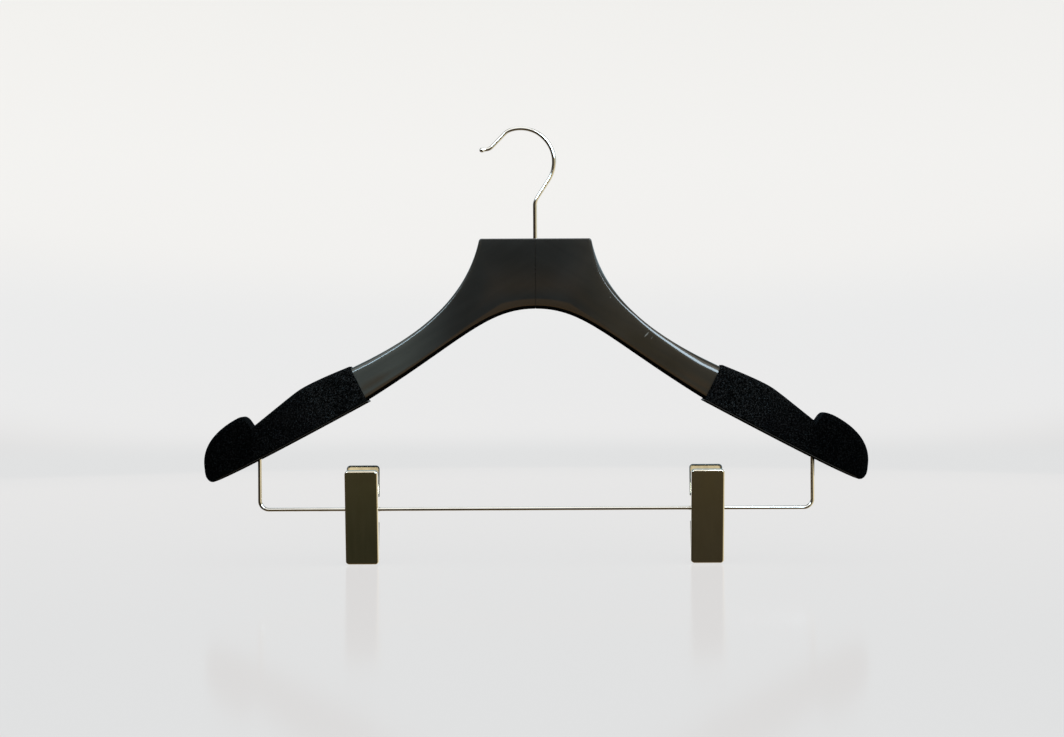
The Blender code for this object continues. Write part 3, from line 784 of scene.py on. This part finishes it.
def sleeve_mesh(name):
    """A tube along X with rounded rims."""
    rim = (SLEEVE_RADIUS - SLEEVE_BORE_RADIUS) / 2
    middle = (SLEEVE_RADIUS + SLEEVE_BORE_RADIUS) / 2
    loop = []
    for end, first in ((1, 90), (-1, 270)):
        for angle in (math.radians(a) for a in (*evenly(first, first - 180, 8), first - 180)):
            x = end * (SLEEVE_LENGTH / 2 - rim) + rim * math.cos(angle)
            loop.append((x, middle + rim * math.sin(angle)))
    sides = 48
    bm = bmesh.new()
    rings = []
    for k in range(sides):
        turn = 2 * math.pi * k / sides
        rings.append([bm.verts.new((x, r * math.cos(turn), r * math.sin(turn))) for x, r in loop])
    for k in range(sides):
        near, far = rings[k], rings[(k + 1) % sides]
        for i in range(len(loop)):
            j = (i + 1) % len(loop)
            bm.faces.new((near[i], near[j], far[j], far[i]))
    return finish_mesh(bm, name, 50)


# Materials


class Nodes:
    """A node tree with short calls for the nodes that the finishes and the room share."""

    def __init__(self, owner):
        owner.use_nodes = True
        self.nodes = owner.node_tree.nodes
        self.links = owner.node_tree.links

    def feed(self, node, socket, value):
        target = node.inputs[socket]
        if isinstance(value, bpy.types.NodeSocket):
            self.links.new(value, target)
        else:
            target.default_value = value

    def part(self, vector, axis):
        node = self.nodes.new("ShaderNodeSeparateXYZ")
        self.links.new(vector, node.inputs[0])
        return node.outputs[axis]

    def remap(self, value, low, high, to_low=0.0, to_high=1.0):
        node = self.nodes.new("ShaderNodeMapRange")
        node.interpolation_type = "SMOOTHSTEP"
        self.feed(node, "Value", value)
        self.feed(node, "From Min", low)
        self.feed(node, "From Max", high)
        self.feed(node, "To Min", to_low)
        self.feed(node, "To Max", to_high)
        return node.outputs["Result"]

    def maths(self, operation, a, b=0.0):
        node = self.nodes.new("ShaderNodeMath")
        node.operation = operation
        self.feed(node, 0, a)
        self.feed(node, 1, b)
        return node.outputs["Value"]

    def blend(self, share, first, second):
        node = self.nodes.new("ShaderNodeMix")
        node.data_type = "RGBA"
        self.feed(node, "Factor", share)
        for socket, colour in ((6, first), (7, second)):
            self.feed(node, socket, (*colour, 1) if isinstance(colour, tuple) else colour)
        return node.outputs[2]


class Material(Nodes):
    """A finish on the Principled shader. Extra settings are named with _ for the spaces in its sockets."""

    def __init__(self, name, roughness=0.5, metallic=0.0, **fixed):
        self.material = bpy.data.materials.new(name)
        super().__init__(self.material)
        self.shader = self.nodes["Principled BSDF"]
        self.set("Roughness", roughness)
        self.set("Metallic", metallic)
        for socket, value in fixed.items():
            self.set(socket.replace("_", " "), value)
        coordinates = self.nodes.new("ShaderNodeTexCoord")
        self.place = coordinates.outputs["Object"]
        self.facing = coordinates.outputs["Normal"]

    def set(self, socket, value):
        self.shader.inputs[socket].default_value = value

    def stretched(self, scale, turn=0.0):
        """The place turned about Y and scaled along each axis, so that a pattern runs one way."""
        node = self.nodes.new("ShaderNodeMapping")
        node.vector_type = "TEXTURE"
        node.inputs["Rotation"].default_value = (0, turn, 0)
        node.inputs["Scale"].default_value = tuple(1 / s for s in scale)
        self.links.new(self.place, node.inputs["Vector"])
        return node.outputs["Vector"]

    def noise(self, scale, detail=3.0, roughness=0.5, place=None):
        node = self.nodes.new("ShaderNodeTexNoise")
        node.inputs["Scale"].default_value = scale
        node.inputs["Detail"].default_value = detail
        node.inputs["Roughness"].default_value = roughness
        self.links.new(place or self.place, node.inputs["Vector"])
        return node.outputs["Fac"]

    def from_spot(self, centre, turn, length, width):
        """Distance from a long spot on the front, as a share of the way from its centre to its rim."""
        mark = self.nodes.new("ShaderNodeMapping")
        mark.vector_type = "TEXTURE"
        mark.inputs["Location"].default_value = (centre[0] + NECK_TOP.x, 0, centre[1] + NECK_TOP.z)
        mark.inputs["Rotation"].default_value = (0, turn, 0)
        mark.inputs["Scale"].default_value = (length / 2, 1, width / 2)
        self.links.new(self.place, mark.inputs["Vector"])
        flat = self.nodes.new("ShaderNodeVectorMath")
        flat.operation = "MULTIPLY"
        flat.inputs[1].default_value = (1, 0, 1)
        self.links.new(mark.outputs["Vector"], flat.inputs[0])
        reach = self.nodes.new("ShaderNodeVectorMath")
        reach.operation = "LENGTH"
        self.links.new(flat.outputs["Vector"], reach.inputs[0])
        return reach.outputs["Value"]

    def colour(self, value):
        self.links.new(value, self.shader.inputs["Base Color"])

    def rough(self, value):
        self.links.new(value, self.shader.inputs["Roughness"])

    def bump(self, height, distance, strength=1.0):
        node = self.nodes.new("ShaderNodeBump")
        node.inputs["Strength"].default_value = strength
        node.inputs["Distance"].default_value = distance
        self.links.new(height, node.inputs["Height"])
        self.links.new(node.outputs["Normal"], self.shader.inputs["Normal"])


def plating(name, tint, dull_tint, roughness, streak_scale, streak=0.25):
    """Polished plating: faint draw lines along the piece and slight clouding."""
    made = Material(name, metallic=1.0)
    cloud = made.noise(90, 4)
    lines = made.noise(1.0, 2, place=made.stretched(streak_scale))
    made.colour(made.blend(made.remap(cloud, 0.35, 0.75), tint, dull_tint))
    spread = made.maths("ADD", made.maths("MULTIPLY", cloud, 0.5), made.maths("MULTIPLY", lines, 0.5))
    made.rough(made.remap(spread, 0.3, 0.7, roughness * 0.7, roughness * 1.4))
    made.bump(lines, 0.00001, streak)
    return made.material


def lacquered_wood(name, side, painted_from, painted_full, painted_colour, scuffs=()):
    """Satin black lacquer: closed grain, orange peel, dust, scuffs, an end painted paler as painted
    reflection, and a painted warm reflection along the lower face.
    """
    made = Material(name, Specular_IOR_Level=0.25, Coat_Weight=1.0, Coat_Roughness=0.13, Coat_IOR=1.5)
    grain_place = made.stretched((14, 260, 260), side * math.radians(30))
    grain = made.noise(1.0, 5, 0.6, grain_place)
    peel = made.noise(420, 2)
    patches = made.noise(28, 3)
    dust = made.remap(made.noise(1500, 2, 0.7), 0.70, 0.78)
    base = made.blend(made.remap(grain, 0.3, 0.7), (0.0054, 0.0048, 0.0039), (0.0074, 0.0066, 0.0054))
    # painted reflection: the arm's end is painted paler, bluish grey on the left and brown on the right
    along = made.part(made.place, "X")
    end = made.remap(along, NECK_TOP.x + side * painted_from, NECK_TOP.x + side * painted_full)
    base = made.blend(made.maths("MULTIPLY", end, made.remap(grain, 0.3, 0.7, 0.8, 1.0)), base, painted_colour)
    facing = made.part(made.facing, "Z")
    # painted reflection: a warm brown on the face's lower part and the bottom round, by how far the
    # surface looks down
    base = made.blend(made.remap(facing, 0.006, -0.015, 0.0, 0.6), base, (0.036, 0.019, 0.007))
    base = made.blend(made.remap(facing, -0.015, -0.22), base, (0.042, 0.021, 0.008))
    base = made.blend(made.maths("MULTIPLY", dust, 0.25), base, (0.06, 0.058, 0.052))
    rough = made.remap(patches, 0.3, 0.7, 0.33, 0.42)
    for centre, turn, length, width, strength in scuffs:
        shape = made.remap(made.from_spot(centre, turn, length, width), 0.5, 1.0, strength, 0.0)
        share = made.maths("MULTIPLY", shape, made.remap(made.noise(2500, 1), 0.35, 0.6, 0.55, 1.0))
        base = made.blend(share, base, (0.20, 0.19, 0.17))
    made.colour(base)
    made.rough(rough)
    heights = made.maths("ADD", made.maths("MULTIPLY", grain, 0.6), made.maths("MULTIPLY", peel, 0.4))
    made.bump(heights, 0.00003, 0.35)
    return made.material


def flock():
    """Black velvet flock: a short dense pile with specks where it leans."""
    made = Material("black_flock", roughness=1.0, Specular_IOR_Level=0.0)
    made.set("Sheen Weight", 0.02)
    made.set("Sheen Roughness", 0.4)
    made.set("Sheen Tint", (0.75, 0.88, 1.0, 1))
    pile = made.noise(2600, 2, 0.7)
    lean = made.noise(1100, 4, 0.75)
    nap = made.noise(60, 3)
    specks = made.remap(made.noise(1000, 3, 0.8), 0.58, 0.70)
    base = made.blend(made.remap(lean, 0.48, 0.72), (0.0008, 0.0008, 0.0008), (0.0270, 0.0265, 0.0265))
    base = made.blend(made.remap(nap, 0.35, 0.7, 0.0, 0.5), base, (0.0006, 0.0007, 0.0008))
    base = made.blend(made.maths("MULTIPLY", specks, 0.6), base, (0.050, 0.062, 0.070))
    # painted shade: the flock is painted darker towards each cap's tip
    from_middle = made.maths("ABSOLUTE", made.maths("SUBTRACT", made.part(made.place, "X"), NECK_TOP.x))
    base = made.blend(made.remap(from_middle, 0.145, 0.195, 0.0, 0.72), base, (0.0002, 0.0002, 0.0002))
    made.colour(base)
    heights = made.maths("ADD", made.maths("MULTIPLY", pile, 0.4), lean)
    made.bump(heights, 0.0004, 0.8)
    return made.material


def moulded_black():
    made = Material("moulded_black", Specular_IOR_Level=0.12)
    grain = made.noise(900, 3)
    patches = made.noise(45, 3)
    made.colour(made.blend(patches, (0.0070, 0.0050, 0.0035), (0.0120, 0.0085, 0.0055)))
    made.rough(made.remap(patches, 0.3, 0.7, 0.32, 0.45))
    made.bump(grain, 0.00004, 0.3)
    return made.material


def underside_painted_shade():
    """Painted shade: a darker copy of the lacquer without reflection, for the undersides of the arms and
    the cap soles.
    """
    made = Material("underside_painted_shade", Specular_IOR_Level=0.0)
    grain = made.noise(700, 4)
    made.colour(made.blend(grain, (0.0015, 0.0015, 0.0014), (0.0035, 0.0034, 0.0030)))
    made.rough(made.remap(grain, 0.3, 0.7, 0.7, 0.9))
    made.bump(grain, 0.00005, 0.5)
    return made.material


def rubber():
    made = Material("pad_rubber", IOR=1.5)
    grain = made.noise(1400, 3)
    patches = made.noise(160, 3)
    made.colour(made.blend(patches, (0.030, 0.030, 0.033), (0.055, 0.055, 0.058)))
    made.rough(made.remap(patches, 0.3, 0.7, 0.6, 0.85))
    made.bump(grain, 0.00006, 0.5)
    return made.material


def bare_beech():
    made = Material("beech_end_grain")
    grain = made.noise(1.0, 5, 0.6, made.stretched((60, 900, 900)))
    made.colour(made.blend(made.remap(grain, 0.3, 0.7), (0.42, 0.27, 0.15), (0.62, 0.44, 0.27)))
    made.rough(made.remap(grain, 0.3, 0.7, 0.5, 0.75))
    made.bump(grain, 0.00008, 0.5)
    return made.material


# Pieces


chrome = plating("chrome_wire", (0.88, 0.88, 0.86), (0.80, 0.79, 0.76), 0.08, (40, 500, 500), 0.08)
clip_plating = plating("plated_plate", (0.86, 0.82, 0.72), (0.80, 0.75, 0.63), 0.10, (300, 300, 40))
spring_finish = plating("spring_steel", (0.55, 0.55, 0.56), (0.42, 0.42, 0.44), 0.25, (500, 500, 500))
zinc = plating("zinc_steel", (0.52, 0.53, 0.55), (0.38, 0.40, 0.42), 0.32, (200, 900, 900))
brass = plating("brass", (0.80, 0.62, 0.30), (0.66, 0.48, 0.22), 0.25, (900, 900, 120))
sheared = plating("sheared_edge", (0.10, 0.12, 0.125), (0.05, 0.06, 0.065), 0.40, (300, 300, 40))
flocked = flock()
moulded = moulded_black()
underside_shade = underside_painted_shade()
pad_rubber = rubber()

points, radii = hook_route()
hook_mesh = swept("hook_wire", points, radii, WIRE_SIDES, NECK_TOP)
add_piece("hook_wire", hook_mesh, chrome, "hook", "chrome_wire", "hook")

points = bar_route()
bar_mesh = swept("bar_wire", points, [WIRE_RADIUS] * len(points), WIRE_SIDES, NECK_TOP)
add_piece("bar_wire", bar_mesh, chrome, "frame", "chrome_wire", "trouser_bar")

glue = cut_away(neck_seam("neck_glue_line"), neck_cutters(), 40)
add_piece("neck_glue_line", glue, moulded, "frame", "black_lacquer")

for word, side in SIDES:
    arm_name = word + "_arm_wood"
    wood = lacquered_wood(word + "_lacquer", side, *PAINTED_LIGHT_ENDS[word], SCUFFS[word])
    arm_mesh = cut_away(arm_body(arm_name, side), [*neck_cutters(), leg_cutter(side)], 40)
    add_piece(arm_name, arm_mesh, wood, "frame", "black_lacquer", word + "_arm")
    # painted shade on the arm's underside
    finish_underside(arm_mesh, underside_shade, UNDERSIDE)

    cap_name = word + "_cap_flock"
    shell = cut_away(cap_shell(cap_name, side), [cap_cavity(side), leg_cutter(side)], 32)
    add_piece(cap_name, shell, flocked, "frame", "black_flock", word + "_shoulder_cap")

    sole_name = word + "_cap_sole"
    sole = cut_away(cap_sole(sole_name, side), [leg_cutter(side)], 40)
    add_piece(sole_name, sole, moulded, "frame", "black_lacquer", word + "_shoulder_cap")
    # painted shade on the sole's underside
    finish_underside(sole, underside_shade, SOLE_UNDERSIDE)

    clip = word + "_clip_"
    low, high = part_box(clip + "sleeve")
    pivot = (low + high) / 2
    tilts = {"front": Euler((CLIP_TILT, 0, 0)), "back": Euler((CLIP_TILT, 0, math.pi))}
    shapes = {"front": (CLIP_TOP, False), "back": (BACK_TOP, True)}
    for face, tilt in tilts.items():
        place = Matrix.Translation(pivot) @ tilt.to_matrix().to_4x4()
        plate = plate_mesh(clip + face + "_sheet", *shapes[face])
        add_piece(plate.name, plate, clip_plating, clip + face, "plated_plate", clip + face + "_plate")
        dull_sheared_edges(plate, sheared)
        plate.transform(place)
        pad = pad_mesh(clip + face + "_rubber")
        pad.transform(place)
        add_piece(pad.name, pad, pad_rubber, clip + face, "pad_rubber", clip + face + "_pad")
    sleeve = sleeve_mesh(clip + "tube")
    sleeve.transform(Matrix.Translation(pivot))
    add_piece(clip + "tube", sleeve, zinc, clip + "carrier", "zinc_steel", clip + "sleeve")
    points = spring_route()
    coil = swept(clip + "coil", points, [SPRING_WIRE_RADIUS] * len(points), SPRING_SIDES, pivot)
    add_piece(clip + "coil", coil, spring_finish, clip + "back", "spring_steel", clip + "spring")

KEPT_FINISHES = {"hook_bushing": brass, "hook_washer": zinc, "hook_nut": zinc, "neck_dowel": bare_beech()}
for node, finish in KEPT_FINISHES.items():
    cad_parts[node].data.materials.clear()
    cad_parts[node].data.materials.append(finish)


# Studio


def cove_material():
    """Pale paint, a little brighter up the wall, with a faint mirror image in the floor."""
    material = bpy.data.materials.new("pale_cove")
    material.use_nodes = True
    nodes = material.node_tree.nodes
    links = material.node_tree.links
    nodes.clear()
    output = nodes.new("ShaderNodeOutputMaterial")
    height = nodes.new("ShaderNodeSeparateXYZ")
    links.new(nodes.new("ShaderNodeTexCoord").outputs["Object"], height.inputs[0])
    tone = nodes.new("ShaderNodeValToRGB")
    tone.color_ramp.elements[0].color = (*COVE_TONES[0][1], 1)
    tone.color_ramp.elements[1].color = (*COVE_TONES[-1][1], 1)
    for level, colour in COVE_TONES[1:-1]:
        tone.color_ramp.elements.new(level).color = (*colour, 1)
    links.new(height.outputs["Z"], tone.inputs[0])
    glow = nodes.new("ShaderNodeEmission")
    links.new(tone.outputs[0], glow.inputs["Color"])
    paint = nodes.new("ShaderNodeBsdfDiffuse")
    paint.inputs["Color"].default_value = (*[COVE_PAINT] * 3, 1)
    both = nodes.new("ShaderNodeAddShader")
    links.new(glow.outputs[0], both.inputs[0])
    links.new(paint.outputs[0], both.inputs[1])
    gloss = nodes.new("ShaderNodeBsdfGlossy")
    gloss.inputs["Color"].default_value = (0.9, 0.9, 0.9, 1)
    gloss.inputs["Roughness"].default_value = COVE_GLOSS_ROUGHNESS
    mix = nodes.new("ShaderNodeMixShader")
    mix.inputs[0].default_value = COVE_GLOSS
    links.new(both.outputs[0], mix.inputs[1])
    links.new(gloss.outputs[0], mix.inputs[2])
    links.new(mix.outputs[0], output.inputs["Surface"])
    return material


def make_cove(floor_z):
    """A round floor that curves up into a wall. Returns the collection that keeps the lights off it."""
    profile = [(0.0, 0.0), *((r, 0.0) for r in (0.3, 0.6, 0.9))]
    bend_steps = 24
    for i in range(bend_steps + 1):
        angle = math.pi / 2 * i / bend_steps
        radius = COVE_FLOOR_RADIUS + COVE_BEND * math.sin(angle)
        profile.append((radius, COVE_BEND * (1 - math.cos(angle))))
    profile.append((COVE_FLOOR_RADIUS + COVE_BEND, COVE_HEIGHT))
    sides = 96
    bm = bmesh.new()
    centre = bm.verts.new((0, 0, 0))
    rings = []
    for radius, height in profile[1:]:
        turns = [2 * math.pi * k / sides for k in range(sides)]
        rings.append([bm.verts.new((radius * math.cos(t), radius * math.sin(t), height)) for t in turns])
    for k in range(sides):
        bm.faces.new((centre, rings[0][k], rings[0][(k + 1) % sides]))
    for near, far in zip(rings, rings[1:]):
        for k in range(sides):
            j = (k + 1) % sides
            bm.faces.new((near[k], far[k], far[j], near[j]))
    mesh = bpy.data.meshes.new("cove")
    bm.to_mesh(mesh)
    bm.free()
    mesh.shade_smooth()
    mesh.materials.append(cove_material())
    cove = add_object("cove", mesh)
    cove.location = (NECK_TOP.x, 0, floor_z)
    cove.visible_diffuse = False
    cove.visible_glossy = False
    cove.visible_shadow = False
    unlit = bpy.data.collections.new("unlit")
    unlit.objects.link(cove)
    unlit.collection_objects[0].light_linking.link_state = "EXCLUDE"
    return unlit


def make_world():
    """Pale behind and above, dark ahead with two cream cards, cream at the right, dark at the left.

    Every limit below is a share of a direction from the hanger: X to the right, Y to the back, Z up.
    """
    world = bpy.data.worlds.new("studio")
    bpy.context.scene.world = world
    studio = Nodes(world)
    studio.nodes.clear()
    blend = studio.blend
    place = studio.nodes.new("ShaderNodeTexCoord").outputs["Generated"]

    def share(axis, low, high):
        return studio.remap(studio.part(place, axis), low, high)

    def sideways(low, high):
        return studio.remap(studio.maths("ABSOLUTE", studio.part(place, "X")), low, high)

    low = blend(share("Z", -0.90, -0.50), (0.15, 0.105, 0.055), (0.030, 0.022, 0.012))
    clip_left = blend(share("Z", -0.32, -0.27), (0.026, 0.025, 0.0135), (0.052, 0.046, 0.023))
    clip_right = blend(share("Z", -0.32, -0.27), (0.040, 0.033, 0.020), (0.062, 0.049, 0.024))
    under = blend(share("Z", -0.45, -0.38), low, blend(share("X", -0.06, 0.06), clip_left, clip_right))
    ahead = blend(share("Z", -0.24, -0.16), under, (0.016, 0.013, 0.009))
    cards = blend(share("Z", 0.09, 0.13), ahead, (0.80, 0.70, 0.48))
    cards = blend(sideways(0.05, 0.09), ahead, cards)
    cards = blend(sideways(0.16, 0.20), cards, ahead)
    front = blend(share("Z", 0.22, 0.28), cards, ahead)
    right = blend(share("X", 0.30, 0.75), front, (0.70, 0.60, 0.38))
    side_card = blend(share("X", 0.18, 0.26), right, (0.75, 0.63, 0.40))
    side_card = blend(share("Z", -0.02, 0.02), side_card, right)
    right = blend(share("Z", -0.13, -0.09), right, side_card)
    upper = blend(share("Z", 0.25, 0.55), right, (1.20, 1.17, 1.10))
    skyline = blend(share("Z", 0.02, 0.16), (0.90, 0.90, 0.90), (0.30, 0.42, 0.48))
    overhead = blend(sideways(0.12, 0.30), (0.85, 0.90, 0.93), (0.07, 0.085, 0.095))
    behind = blend(share("Z", 0.35, 0.60), skyline, overhead)
    room = blend(share("Y", -0.05, 0.30), upper, behind)
    leftward = blend(share("Z", 0.25, 0.55), (0.05, 0.035, 0.02), room)
    room = blend(share("X", -0.80, -0.45), leftward, room)
    seen = studio.nodes.new("ShaderNodeLightPath").outputs["Is Camera Ray"]
    background = studio.nodes.new("ShaderNodeBackground")
    studio.links.new(blend(seen, room, (0.80, 0.80, 0.81)), background.inputs["Color"])
    output = studio.nodes.new("ShaderNodeOutputWorld")
    studio.links.new(background.outputs[0], output.inputs["Surface"])


def add_light(name, place, aim, size, power, colour, unlit):
    """A soft rectangular light. It lights everything but what is unlit."""
    data = bpy.data.lights.new(name, "AREA")
    data.shape = "RECTANGLE"
    data.size, data.size_y = size
    data.energy = power
    data.color = colour
    light = bpy.data.objects.new(name, data)
    bpy.context.scene.collection.objects.link(light)
    light.location = place
    light.rotation_euler = (Vector(aim) - Vector(place)).to_track_quat("-Z", "Y").to_euler()
    light.visible_camera = False
    light.light_linking.receiver_collection = unlit


def make_camera():
    data = bpy.data.cameras.new("camera")
    data.lens = CAMERA_LENS
    data.sensor_width = 36
    data.clip_start = 0.01
    camera = bpy.data.objects.new("camera", data)
    bpy.context.scene.collection.objects.link(camera)
    camera.location = NECK_TOP + Vector((CAMERA_FROM_AXIS, -CAMERA_DISTANCE, CAMERA_BELOW_NECK))
    camera.rotation_euler = (math.pi / 2, CAMERA_ROLL, 0)
    bpy.context.scene.camera = camera


unlit = make_cove(CAD_BOX[0].z - FLOOR_GAP)
make_world()
middle = (NECK_TOP.x, 0, NECK_TOP.z - 0.1)
for name, place, size, power, colour in LIGHTS:
    add_light(name, place, middle, size, power, colour, unlit)
make_camera()

bpy.context.scene.view_settings.view_transform = "Standard"
